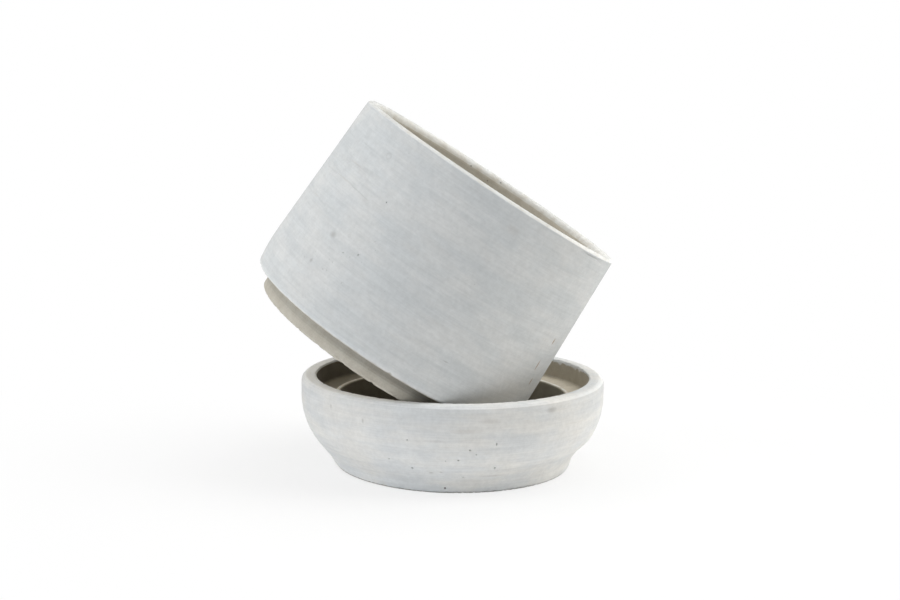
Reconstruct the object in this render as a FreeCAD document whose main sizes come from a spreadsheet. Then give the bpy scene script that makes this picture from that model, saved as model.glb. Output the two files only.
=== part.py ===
import FreeCAD, Part
import Sketcher
import math
import os

# Concrete plant pot that leans in its own concrete saucer. Millimetres and degrees.
# Origin: middle of the saucer's underside. +Z is up, and the pot leans toward +X.

DRIVING = [
    # saucer
    ("saucer_radius", 100.0, "outer wall at the rim"),
    ("saucer_height", 60.0, "ground to rim"),
    ("saucer_straight", 12.4, "upright band of wall below the rim"),
    ("bowl_radius", 48.5, "bow of the outer wall below that band"),
    ("bowl_turn", 38.2, "degrees the wall turns through before it runs on straight to the foot"),
    ("saucer_foot_height", 5.8, "standing foot"),
    ("saucer_foot_draft", 2.4, "foot narrows by this toward the ground"),
    ("saucer_foot_edge", 1.5, "rounding of the foot's lower edge"),
    ("saucer_foot_cove", 3.0, "hollow rounding where foot meets wall"),
    ("rim_width", 10.0, "flat top of the saucer's rim"),
    ("rim_outer_edge", 4.0, "rounding of the rim's outer edge"),
    ("rim_inner_edge", 1.2, "rounding of the rim's inner edge"),
    ("recess_depth", 13.3, "rim down to the ledge"),
    ("recess_cove", 2.0, "hollow rounding at the back of the ledge"),
    ("ledge_width", 14.8, "ledge around the well"),
    ("ledge_edge", 2.0, "rounding of the ledge's inner edge"),
    ("well_depth", 21.9, "ledge down to the well's floor"),
    ("well_draft", 2.5, "well narrows by this toward its floor"),
    ("well_cove", 7.0, "hollow rounding around the well's floor"),
    ("base_ring_width", 15.0, "ring the saucer stands on"),
    ("base_hollow_depth", 8.0, "hollow under the saucer"),
    ("base_hollow_draft", 5.0, "that hollow narrows by this toward its top"),
    ("base_hollow_cove", 4.0, "rounding in the corner of that hollow"),
    # pot
    ("flush_inset", 0.4, "pot's wall stands back from the saucer's by this"),
    ("foot_clearance", 2.0, "gap around the pot's foot in the recess"),
    ("foot_lift", 1.0, "gap under the foot while the shoulder sits on the rim"),
    ("foot_edge", 1.8, "rounding of the foot's lower edge"),
    ("foot_cove", 2.5, "hollow rounding between foot and shoulder"),
    ("body_height", 126.7, "shoulder to rim of the pot"),
    ("wall_inset", 4.85, "wall leans in by this up to the rim"),
    ("belly_height", 24.5, "lower wall that curves in to the shoulder"),
    ("belly_inset", 1.1, "how far that curve comes in at the shoulder"),
    ("shoulder_edge", 2.5, "rounding of the shoulder's lower edge"),
    ("pot_rim_width", 8.2, "flat top of the pot's rim"),
    ("pot_rim_edge", 1.5, "rounding of both rim edges"),
    ("pot_floor", 16.0, "thickness of the pot's floor"),
    ("cavity_draft", 4.0, "planting space narrows by this toward its floor"),
    ("cavity_cove", 12.0, "rounding around the planting space's floor"),
    ("drain_radius", 9.0, "drain hole"),
    ("drain_edge", 2.0, "rounding of both drain hole edges"),
    # how the pot leans
    ("lean", 32.4, "degrees from upright"),
    ("rest_gap", 0.3, "left between the pot and what it rests on"),
    ("overrun", 6.0, "cuts go this far past the solid"),
]

DERIVED = [
    ("band_level", "saucer_height - saucer_straight", "lower end of the upright band"),
    ("bowl_low_radius", "saucer_radius - bowl_radius * (1 - cos(bowl_turn))", "lower end of the bow"),
    ("bowl_low_level", "band_level - bowl_radius * sin(bowl_turn)", "lower end of the bow"),
    ("bowl_run", "(bowl_low_level - saucer_foot_height) * tan(bowl_turn)", "straight wall to the foot"),
    ("saucer_foot_radius", "bowl_low_radius - bowl_run", "foot where it meets the wall"),
    ("saucer_base_radius", "saucer_foot_radius - saucer_foot_draft", "foot at the ground"),
    ("recess_radius", "saucer_radius - rim_width", "inner wall of the saucer's rim"),
    ("well_radius", "recess_radius - ledge_width", "mouth of the well"),
    ("well_floor_radius", "well_radius - well_draft", "floor of the well"),
    ("ledge_level", "saucer_height - recess_depth", "ledge above the ground"),
    ("well_level", "ledge_level - well_depth", "well's floor above the ground"),
    ("saucer_cut_top", "saucer_height + overrun", "top of the cut that opens the saucer"),
    ("base_hollow_radius", "saucer_base_radius - base_ring_width", "mouth of the hollow under the saucer"),
    ("base_hollow_top_radius", "base_hollow_radius - base_hollow_draft", "top of that hollow"),
    ("foot_radius", "recess_radius - foot_clearance", "pot's foot"),
    ("foot_height", "recess_depth - foot_lift", "pot's foot up to the shoulder"),
    ("belly_radius", "saucer_radius - flush_inset", "pot's wall at its widest"),
    ("belly_level", "foot_height + belly_height", "where the pot's wall is widest"),
    ("shoulder_radius", "belly_radius - belly_inset", "pot's wall at the shoulder"),
    ("pot_height", "foot_height + body_height", "pot's foot to its rim"),
    ("pot_rim_radius", "belly_radius - wall_inset", "outer edge of the pot's rim"),
    ("mouth_radius", "pot_rim_radius - pot_rim_width", "inner edge of the pot's rim"),
    ("cavity_radius", "mouth_radius - cavity_draft", "planting space at its floor"),
    ("pot_cut_top", "pot_height + overrun", "top of the cut that hollows the pot"),
    ("drain_cut", "pot_floor + overrun", "length of the cut for the drain hole"),
]

# a corner of a half section that lies on the Z axis, or on the ground
ON_AXIS = None
ON_GROUND = None

# how sketches number an element's start, end and middle, and their two axes, which start at the origin
START, END, MIDDLE = range(1, 4)
ACROSS_AXIS, UP_AXIS = range(-1, -3, -1)
ORIGIN = ACROSS_AXIS

document = FreeCAD.newDocument("concrete_pot_with_saucer")
sheet = document.addObject("Spreadsheet::Sheet", "dims")


def put_in_sheet(name, content, note):
    row = len(sheet.getUsedCells()) // 3 + 1
    sheet.set("A%d" % row, name)
    sheet.set("B%d" % row, content)
    sheet.set("C%d" % row, note)
    sheet.setAlias("B%d" % row, name)


for size_name, value, remark in DRIVING:
    put_in_sheet(size_name, repr(value), remark)
for size_name, formula, remark in DERIVED:
    put_in_sheet(size_name, "=" + formula, remark)
document.recompute()


def size(name):
    """Value of a cell of the sheet; a corner's radius on the axis and level on the ground are zero."""
    if name is None:
        return 0.0
    return float(sheet.get(name))


def bind(feature, setting, name):
    """Ties a setting of a feature to a cell of the sheet."""
    feature.setExpression(setting, "dims." + name)


def new_body(name):
    body = document.addObject("PartDesign::Body", name)
    body.Label = name
    return body


def new_sketch(body, name, role):
    """Sketch on the body's own origin plane with this role."""
    sketch = body.newObject("Sketcher::SketchObject", name)
    for plane in body.Origin.OriginFeatures:
        if plane.Role == role:
            sketch.AttachmentSupport = [(plane, "")]
    sketch.MapMode = "FlatFace"
    return sketch


def arc_into_line(start, end, beyond):
    """Arc from start to end that runs on smoothly into the line from end to beyond."""
    along = (beyond - end).normalize()
    inward = FreeCAD.Vector(-along.y, along.x, 0)
    chord = start - end
    radius = chord.dot(chord) / (2 * chord.dot(inward))
    centre = end + inward * radius
    toward_middle = ((start + end) / 2 - centre).normalize()
    return Part.Arc(start, centre + toward_middle * radius, end)


def half_section(body, name, corners, arc_from=None):
    """Closed outline beside the Z axis, anticlockwise. A corner is a named radius and a named level.
    The side that leaves corner number arc_from is an arc, tangent to the side after it."""
    sketch = new_sketch(body, name, "XZ_Plane")
    places = [FreeCAD.Vector(size(radius), size(level), 0) for radius, level in corners]
    count = len(places)
    for number in range(count):
        start = places[number]
        end = places[(number + 1) % count]
        if number == arc_from:
            beyond = places[(number + 2) % count]
            sketch.addGeometry(arc_into_line(start, end, beyond), False)
        else:
            sketch.addGeometry(Part.LineSegment(start, end), False)
    for number in range(count):
        kind = "Tangent" if number == arc_from else "Coincident"
        sketch.addConstraint(Sketcher.Constraint(kind, number, END, (number + 1) % count, START))
    for number, (radius, level) in enumerate(corners):
        place_corner(sketch, number, "DistanceX", radius, UP_AXIS)
        place_corner(sketch, number, "DistanceY", level, ACROSS_AXIS)
    document.recompute()
    return sketch


def place_corner(sketch, number, kind, name, axis):
    """Puts a corner at a named distance from an axis, or on that axis if it has no name."""
    if name is None:
        sketch.addConstraint(Sketcher.Constraint("PointOnObject", number, START, axis))
        return
    distance = Sketcher.Constraint(kind, ORIGIN, START, number, START, size(name))
    index = sketch.addConstraint(distance)
    label = "corner_%d_%s" % (number, name)
    sketch.renameConstraint(index, label)
    bind(sketch, "Constraints." + label, name)


def turn_around_axis(body, kind, name, sketch):
    feature = body.newObject("PartDesign::" + kind, name)
    feature.Profile = sketch
    feature.ReferenceAxis = (sketch, ["V_Axis"])
    feature.Angle = 360
    document.recompute()


def round_edge(body, name, radius, level, rounding):
    """Rounds the one circular edge that has this radius and level."""
    before = body.Tip
    found = []
    for number, edge in enumerate(before.Shape.Edges, 1):
        if not isinstance(edge.Curve, Part.Circle):
            continue
        off_radius = abs(edge.Curve.Radius - size(radius))
        off_level = abs(edge.Curve.Center.z - size(level))
        if off_radius + off_level < Part.Precision.approximation():
            found.append("Edge%d" % number)
    if len(found) != 1:
        raise ValueError("%s: %d edges found" % (name, len(found)))
    feature = body.newObject("PartDesign::Fillet", name)
    feature.Base = (before, found)
    bind(feature, "Radius", rounding)
    document.recompute()


def make_saucer():
    """Bowed wall on a short foot, stepped hollow from above, shallow hollow from below."""
    body = new_body("saucer")
    outline = [
        (ON_AXIS, ON_GROUND),
        ("saucer_base_radius", ON_GROUND),
        ("saucer_foot_radius", "saucer_foot_height"),
        ("bowl_low_radius", "bowl_low_level"),
        ("saucer_radius", "band_level"),
        ("saucer_radius", "saucer_height"),
        (ON_AXIS, "saucer_height"),
    ]
    bow = outline.index(("bowl_low_radius", "bowl_low_level"))
    turn_around_axis(body, "Revolution", "saucer_solid", half_section(body, "saucer_outline", outline, bow))
    stepped = [
        (ON_AXIS, "well_level"),
        ("well_floor_radius", "well_level"),
        ("well_radius", "ledge_level"),
        ("recess_radius", "ledge_level"),
        ("recess_radius", "saucer_cut_top"),
        (ON_AXIS, "saucer_cut_top"),
    ]
    turn_around_axis(body, "Groove", "stepped_hollow", half_section(body, "stepped_outline", stepped))
    round_edge(body, "round_well_floor", "well_floor_radius", "well_level", "well_cove")
    round_edge(body, "round_ledge_back", "recess_radius", "ledge_level", "recess_cove")
    round_edge(body, "round_ledge", "well_radius", "ledge_level", "ledge_edge")
    round_edge(body, "round_rim_inside", "recess_radius", "saucer_height", "rim_inner_edge")
    round_edge(body, "round_rim_outside", "saucer_radius", "saucer_height", "rim_outer_edge")
    under = [
        (ON_AXIS, ON_GROUND),
        ("base_hollow_radius", ON_GROUND),
        ("base_hollow_top_radius", "base_hollow_depth"),
        (ON_AXIS, "base_hollow_depth"),
    ]
    turn_around_axis(body, "Groove", "base_hollow", half_section(body, "base_hollow_outline", under))
    round_edge(body, "round_hollow", "base_hollow_top_radius", "base_hollow_depth", "base_hollow_cove")
    round_edge(body, "round_base", "saucer_base_radius", ON_GROUND, "saucer_foot_edge")
    round_edge(body, "round_kink", "saucer_foot_radius", "saucer_foot_height", "saucer_foot_cove")
    return body


def make_pot():
    """Foot that drops into the saucer's recess, shoulder that sits on the saucer's rim, drained hollow."""
    body = new_body("pot")
    outline = [
        (ON_AXIS, ON_GROUND),
        ("foot_radius", ON_GROUND),
        ("foot_radius", "foot_height"),
        ("shoulder_radius", "foot_height"),
        ("belly_radius", "belly_level"),
        ("pot_rim_radius", "pot_height"),
        (ON_AXIS, "pot_height"),
    ]
    belly = outline.index(("shoulder_radius", "foot_height"))
    turn_around_axis(body, "Revolution", "pot_solid", half_section(body, "pot_outline", outline, belly))
    space = [
        (ON_AXIS, "pot_floor"),
        ("cavity_radius", "pot_floor"),
        ("mouth_radius", "pot_height"),
        ("mouth_radius", "pot_cut_top"),
        (ON_AXIS, "pot_cut_top"),
    ]
    turn_around_axis(body, "Groove", "planting_space", half_section(body, "planting_outline", space))
    round_edge(body, "round_floor", "cavity_radius", "pot_floor", "cavity_cove")
    round_edge(body, "round_mouth", "mouth_radius", "pot_height", "pot_rim_edge")
    round_edge(body, "round_rim", "pot_rim_radius", "pot_height", "pot_rim_edge")
    round_edge(body, "round_shoulder", "shoulder_radius", "foot_height", "shoulder_edge")
    round_edge(body, "round_foot_top", "foot_radius", "foot_height", "foot_cove")
    round_edge(body, "round_foot", "foot_radius", ON_GROUND, "foot_edge")
    drill_drain(body)
    round_edge(body, "round_drain_top", "drain_radius", "pot_floor", "drain_edge")
    round_edge(body, "round_drain_below", "drain_radius", ON_GROUND, "drain_edge")
    return body


def drill_drain(body):
    circle = new_sketch(body, "drain_circle", "XY_Plane")
    straight_up = FreeCAD.Vector(0, 0, 1)
    circle.addGeometry(Part.Circle(FreeCAD.Vector(), straight_up, size("drain_radius")), False)
    circle.addConstraint(Sketcher.Constraint("Coincident", 0, MIDDLE, ORIGIN, START))
    index = circle.addConstraint(Sketcher.Constraint("Radius", 0, size("drain_radius")))
    circle.renameConstraint(index, "drain")
    bind(circle, "Constraints.drain", "drain_radius")
    hole = body.newObject("PartDesign::Pocket", "drain_hole")
    hole.Profile = circle
    hole.Type = "Length"
    hole.Reversed = True
    bind(hole, "Length", "drain_cut")
    document.recompute()


def pot_rings():
    """Rings around the outside of the pot: radius, level, and the rounding that runs around each."""
    foot_edge = size("foot_edge")
    shoulder_edge = size("shoulder_edge")
    return [
        (size("foot_radius") - foot_edge, foot_edge, foot_edge),
        (size("shoulder_radius") - shoulder_edge, size("foot_height") + shoulder_edge, shoulder_edge),
        (size("belly_radius"), size("belly_level"), 0.0),
    ]


def saucer_steps():
    """Steps of the saucer's hollow, from the well up. Each is solid from a radius outward and from a level
    down, and its edge has a rounding. A cove counts as a square step, the well's slanting wall as two."""
    floor = size("well_level")
    ledge = size("ledge_level")
    halfway = (floor + ledge) / 2
    halfway_radius = (size("well_floor_radius") + size("well_radius")) / 2
    well_cove = size("well_cove")
    recess_cove = size("recess_cove")
    return [
        (0.0, floor, 0.0),
        (size("well_floor_radius") - well_cove, floor + well_cove, 0.0),
        (size("well_floor_radius"), halfway, 0.0),
        (halfway_radius, ledge, size("ledge_edge")),
        (size("recess_radius") - recess_cove, ledge + recess_cove, 0.0),
        (size("recess_radius"), size("saucer_height"), size("rim_inner_edge")),
    ]


def lowest_rest(rest_x, rings, steps):
    """How low the middle of the leaning foot's underside can lie at rest_x, clear of all steps."""
    lean = math.radians(size("lean"))
    gap = size("rest_gap")
    parts_of_ring = 720
    lowest = -math.inf
    for ring_radius, ring_level, ring_edge in rings:
        for part in range(parts_of_ring + 1):
            angle = math.pi * part / parts_of_ring
            across = ring_radius * math.cos(angle)
            x = rest_x + across * math.cos(lean) + ring_level * math.sin(lean)
            y = ring_radius * math.sin(angle)
            up = ring_level * math.cos(lean) - across * math.sin(lean)
            for step_radius, step_level, step_edge in steps:
                reach = ring_edge + step_edge + gap
                short = max(step_radius + step_edge - math.hypot(x, y), 0.0)
                if short < reach:
                    level = step_level - step_edge + math.sqrt(reach ** 2 - short ** 2)
                    lowest = max(lowest, level - up)
    return lowest


def leaning_rest():
    """Where the middle of the leaning foot's underside comes to lie, across and up: as low as it can, and
    then as far as the pot slides away from its lean before the rim stops it."""
    rings = pot_rings()
    steps = saucer_steps()
    far = size("recess_radius")
    tries = 180
    places = [far * (2 * number / tries - 1) for number in range(tries + 1)]
    levels = [lowest_rest(place, rings, steps) for place in places]
    low_enough = min(levels) + Part.Precision.approximation()
    first = next(number for number, level in enumerate(levels) if level <= low_enough)
    clear_x = places[first]
    blocked_x = places[first - 1]
    halvings = 40
    for halving in range(halvings):
        middle_x = (clear_x + blocked_x) / 2
        if lowest_rest(middle_x, rings, steps) <= low_enough:
            clear_x = middle_x
        else:
            blocked_x = middle_x
    return clear_x, lowest_rest(clear_x, rings, steps)


def lean_pot(body):
    rest_x, rest_z = leaning_rest()
    put_in_sheet("rest_x", repr(rest_x), "middle of the leaning foot, found from the sizes above")
    put_in_sheet("rest_z", repr(rest_z), "middle of the leaning foot, found from the sizes above")
    document.recompute()
    across = FreeCAD.Vector(0, 1, 0)
    body.Placement = FreeCAD.Placement(FreeCAD.Vector(), FreeCAD.Rotation(across, size("lean")))
    bind(body, "Placement.Base.x", "rest_x")
    bind(body, "Placement.Base.z", "rest_z")
    bind(body, "Placement.Rotation.Angle", "lean")
    document.recompute()


saucer = make_saucer()
pot = make_pot()
lean_pot(pot)

for thing in document.Objects:
    if "Invalid" in thing.State or "Error" in thing.State:
        raise ValueError("%s: %s" % (thing.Name, thing.State))

os.makedirs("parts", exist_ok=True)
for piece in (saucer, pot):
    if piece.Shape.isNull() or not piece.Shape.isValid() or len(piece.Shape.Solids) != 1:
        raise ValueError(piece.Label + " is not one sound solid")
    piece.Shape.exportStep("parts/%s.step" % piece.Label)
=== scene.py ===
import math
import random
from collections import namedtuple

import bpy
from mathutils import Matrix, Vector, noise


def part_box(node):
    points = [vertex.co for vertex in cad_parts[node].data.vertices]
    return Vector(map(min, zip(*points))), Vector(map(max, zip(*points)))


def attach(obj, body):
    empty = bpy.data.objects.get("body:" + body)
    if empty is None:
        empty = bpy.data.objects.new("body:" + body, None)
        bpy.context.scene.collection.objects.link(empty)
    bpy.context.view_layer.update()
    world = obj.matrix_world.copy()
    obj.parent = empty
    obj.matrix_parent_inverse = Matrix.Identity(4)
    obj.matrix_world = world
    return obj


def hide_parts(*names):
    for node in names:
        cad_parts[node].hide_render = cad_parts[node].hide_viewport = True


# Concrete plant pot that leans in its saucer. Each casting is one turned mesh with its own unevenness,
# nibbled edges, pinholes and scuffs, whitewashed on the outside. Lengths are in millimetres unless said.

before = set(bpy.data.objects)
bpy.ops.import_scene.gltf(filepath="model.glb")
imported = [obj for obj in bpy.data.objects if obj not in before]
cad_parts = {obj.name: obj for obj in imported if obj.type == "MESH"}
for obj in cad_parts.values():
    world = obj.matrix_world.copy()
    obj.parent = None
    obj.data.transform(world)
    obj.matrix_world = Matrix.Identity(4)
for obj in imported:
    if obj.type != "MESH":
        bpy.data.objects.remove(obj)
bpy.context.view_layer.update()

MM = 0.001
MAP_NAME = "OFBake"
FULL_TURN = 2 * math.pi
DEGREES_AROUND = 360

# Outlines

# How a stretch of a casting looks: how light its colour is, which paints in much of the light and shade that
# fall on it, how much whitewash it has, from 0 to 1, and how much darker it is painted on one side, as
# painted shade, or lighter if that is negative, as painted light.
Finish = namedtuple("Finish", "shade coat damp", defaults=(0.0, 0.0))
# A corner of a half section: its rounding, the rows of faces on the run to the next corner, the finish of
# that run, and how deep the corner is nibbled away.
Corner = namedtuple("Corner", "radius level rounding rows finish wear", defaults=(0.0,))
# A row of the turned mesh: its place in the half section, the way out of the solid there, the distance along
# the outline, the parts of its finish, how deep it is nibbled away, and the number of faces around.
Row = namedtuple("Row", "radius level out_r out_z along shade coat damp wear columns")

# Rows around a rounded corner: their spacing, and the fewest and the most of them.
ARC_STEP = 0.6
ARC_ROWS_LEAST, ARC_ROWS_MOST = 3, 7
# How much the rows of a run crowd toward its ends.
CROWDING = 0.5
# How far nibbling reaches beyond its corner, and the least depth that counts.
WEAR_REACH, WEAR_LEAST = 1.3, 0.01
# Faces around a casting: the most, the fewest near its axis, and the width below which their number halves.
COLUMNS, COLUMNS_LEAST = 640, 40
COLUMN_STEP = 0.35


def mixed(one, two, share):
    """Tuple of the same kind, part of the way from one to two."""
    return type(one)(*[start + (end - start) * share for start, end in zip(one, two)])


def bow(start, end, beyond, count):
    """Points between start and end on an arc that runs on smoothly into the line from end to beyond."""
    start, end, beyond = Vector(start), Vector(end), Vector(beyond)
    ahead = (beyond - end).normalized()
    inward = Vector((-ahead.y, ahead.x))
    chord = start - end
    radius = chord.length_squared / (2 * chord.dot(inward))
    centre = end + inward * radius
    first = (start - centre).angle_signed(end - centre)
    points = []
    for number in range(1, count + 1):
        turn = Matrix.Rotation(-first * number / (count + 1), 2)
        points.append(centre + turn @ (start - centre))
    return points


def rounded(before, corner, after):
    """Points around a rounded corner, from the end of one run to the start of the next."""
    place = Vector((corner.radius, corner.level))
    if not corner.rounding:
        return [place]
    ahead = (place - Vector((before.radius, before.level))).normalized()
    onward = (Vector((after.radius, after.level)) - place).normalized()
    turn = -ahead.angle_signed(onward)
    start = place - ahead * corner.rounding * math.tan(abs(turn) / 2)
    side = math.copysign(corner.rounding, turn)
    centre = start + Vector((-ahead.y, ahead.x)) * side
    rows = math.ceil(abs(turn) * corner.rounding / ARC_STEP)
    rows = min(max(rows, ARC_ROWS_LEAST), ARC_ROWS_MOST)
    return [centre + Matrix.Rotation(turn * step / rows, 2) @ (start - centre) for step in range(rows + 1)]


def columns_around(radius):
    """Faces around at this radius: fewer near the axis."""
    count = COLUMNS
    while count > COLUMNS_LEAST and FULL_TURN * radius / count < COLUMN_STEP:
        count //= 2
    return count


def trace(corners, closed):
    """Rows of a turned mesh along an outline. The solid lies to the left of the outline."""
    count = len(corners)
    arcs = []
    for number, corner in enumerate(corners):
        arcs.append(rounded(corners[number - 1], corner, corners[(number + 1) % count]))
    points, finishes, edges = [], [], []
    for number, corner in enumerate(corners):
        arc = arcs[number]
        before = corners[number - 1] if closed or number else corner
        if corner.wear:
            edges.append((len(points), len(points) + len(arc) - 1, corner.wear))
        for step, point in enumerate(arc):
            share = step / (len(arc) - 1) if len(arc) > 1 else 1
            points.append(point)
            finishes.append(mixed(before.finish, corner.finish, share))
        if closed or number < count - 1:
            start, end = arc[-1], arcs[(number + 1) % count][0]
            for step in range(1, corner.rows):
                share = step / corner.rows
                share -= CROWDING * math.sin(FULL_TURN * share) / FULL_TURN
                points.append(start.lerp(end, share))
                finishes.append(corner.finish)
    alongs = [0.0 if closed else points[0].x]
    for one, two in zip(points, points[1:]):
        alongs.append(alongs[-1] + (two - one).length)
    rows = []
    last = len(points) - 1
    for number, point in enumerate(points):
        before = points[number - 1] if closed or number else point
        after = points[(number + 1) % len(points)] if closed or number < last else point
        way = (after - before).normalized()
        wear = 0.0
        for first, final, depth in edges:
            outside = max(alongs[first] - alongs[number], alongs[number] - alongs[final], 0)
            wear = max(wear, depth * math.exp(-(outside / WEAR_REACH) ** 2))
        rows.append(Row(point.x, point.y, way.y, -way.x, alongs[number], *finishes[number], wear,
                        columns_around(point.x)))
    return rows


# Unevenness, chips and blemishes

# A chip: angle in degrees, place along the outline, half its length and width, and its depth.
# A dip is the same, but soft.
Chip = namedtuple("Chip", "angle along half_length half_width depth")
# A blemish: kind, angle in degrees, place along the outline, half its size around and along, and its depth.
Blemish = namedtuple("Blemish", "kind angle along around_half along_half depth")
# A ring of a blemish: shares of its size and depth, and how much of the dark colour and of rust it has; in
# pits and pinholes the dark colour is painted shade.
Ring = namedtuple("Ring", "share depth dark rust", defaults=(0.0, 0.0, 0.0))
LIP, EDGE = Ring(1.25), Ring(1.0)
# Rings of each kind of blemish, from its edge to its middle.
BLEMISH_RINGS = {
    "pit": [LIP, EDGE, Ring(0.9, 0.5, 0.6), Ring(0.55, 1.0, 0.9), Ring(0.0, 1.0, 0.9)],
    "pinhole": [LIP, EDGE, Ring(0.9, 0.5, 0.25), Ring(0.55, 1.0, 0.4), Ring(0.0, 1.0, 0.4)],
    "bubble": [EDGE, Ring(0.7, 1.0, 0.13), Ring(0.35, 0.25, 0.02), Ring(0.0)],
    "smudge": [EDGE, Ring(0.6, 0.5, 0.17), Ring(0.3, 1.0, 0.27, 0.05), Ring(0.0, 1.0, 0.27, 0.05)],
    "fleck": [EDGE, Ring(0.75, 0.6, 0.05, 0.45), Ring(0.4, 1.0, 0.1, 0.75), Ring(0.0, 1.0, 0.1, 0.75)],
    "streak": [EDGE, Ring(0.5, 0.5, 0.01, 0.08), Ring(0.0, 1.0, 0.02, 0.12)],
    "scratch": [EDGE, Ring(0.6, 1.0, 0.3, 0.1), Ring(0.0, 1.0, 0.4, 0.1)],
    "stain": [EDGE, Ring(0.6, 0.0, 0.05, 0.04), Ring(0.3, 0.0, 0.09, 0.06), Ring(0.0, 0.0, 0.09, 0.06)],
}
# Size of the patch of faces that makes room for a blemish, as a share of the blemish's size.
PATCH_MARGIN = 1.5
# Whitewash that ran over an edge in ragged blots: its middle and half its length in degrees, the edge's
# place along the outline, and how far it ran.
Run = namedtuple("Run", "angle half_angle along reach")
# The blots of a run: their size, how ragged they are in large and in small, how thick they start at the edge
# and how they thin away from it, and their contrast and the thickest coat.
RUN_SIZE = 4.5
RUN_RAGGED, RUN_CRUMBS = 0.55, 0.1
RUN_START, RUN_THINNING = 0.68, 0.9
RUN_GAIN, RUN_MOST = 1.8, 0.85

# Slow swells and small lumps of a cast surface: depth and size.
SWELL, SWELL_SIZE = 0.14, 38.0
LUMP, LUMP_SIZE = 0.05, 9.0
# Bites out of a nibbled edge: size of the large and small ones, the small ones' share, and the depth's gain.
NIBBLE_SIZE, CRUMB_SIZE = 2.6, 1.1
CRUMB_SHARE, NIBBLE_GAIN = 0.4, 1.5
# A casting's flat underside, up to this level, has no swells or lumps.
GROUND_LEVEL = 0.3
# The side toward which a finish is painted darker, as painted shade, or lighter where that is negative, as
# painted light.
SHADED_SIDE = math.radians(180.0)


def away_from(angle, degrees):
    """Angle from a direction in degrees, the short way round."""
    return (angle - math.radians(degrees) + math.pi) % FULL_TURN - math.pi


def within(chip, row, angle):
    """Positive inside the chip, and 1 in its middle."""
    around = away_from(angle, chip.angle) * row.radius / chip.half_length
    across = (row.along - chip.along) / chip.half_width
    return 1 - around ** 2 - across ** 2


def relief(row, place, angle, chips, dips):
    """How far the surface lies inside the true outline at this place."""
    if row.level < GROUND_LEVEL and row.out_z < 0:
        sink = 0.0
    else:
        sink = SWELL * (1 + noise.noise(place / SWELL_SIZE)) / 2
        sink += LUMP * (1 + noise.noise(place / LUMP_SIZE)) / 2
    if row.wear > WEAR_LEAST:
        bite = noise.noise(place / NIBBLE_SIZE) + CRUMB_SHARE * noise.noise(place / CRUMB_SIZE)
        sink += row.wear * NIBBLE_GAIN * max(bite, 0)
    for chip in chips:
        inside = within(chip, row, angle)
        if inside > 0:
            sink += chip.depth * math.sqrt(inside) * (1 + CRUMB_SHARE * noise.noise(place / CRUMB_SIZE))
    for dip in dips:
        sink += dip.depth * max(within(dip, row, angle), 0) ** 2
    return sink


def run_over(row, place, angle, runs):
    """Whitewash that ran to this place, from 0 to 1."""
    coat = 0.0
    for run in runs:
        around = away_from(angle, run.angle) / math.radians(run.half_angle)
        down = (row.along - run.along) / run.reach
        if abs(around) < 1 and abs(down) < 1:
            blot = RUN_RAGGED * noise.noise(place / RUN_SIZE) + RUN_CRUMBS * noise.noise(place / CRUMB_SIZE)
            blot += RUN_START - RUN_THINNING * abs(down)
            coat = max(coat, RUN_GAIN * blot * (1 - around ** 4))
    return min(coat, RUN_MOST)


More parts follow.
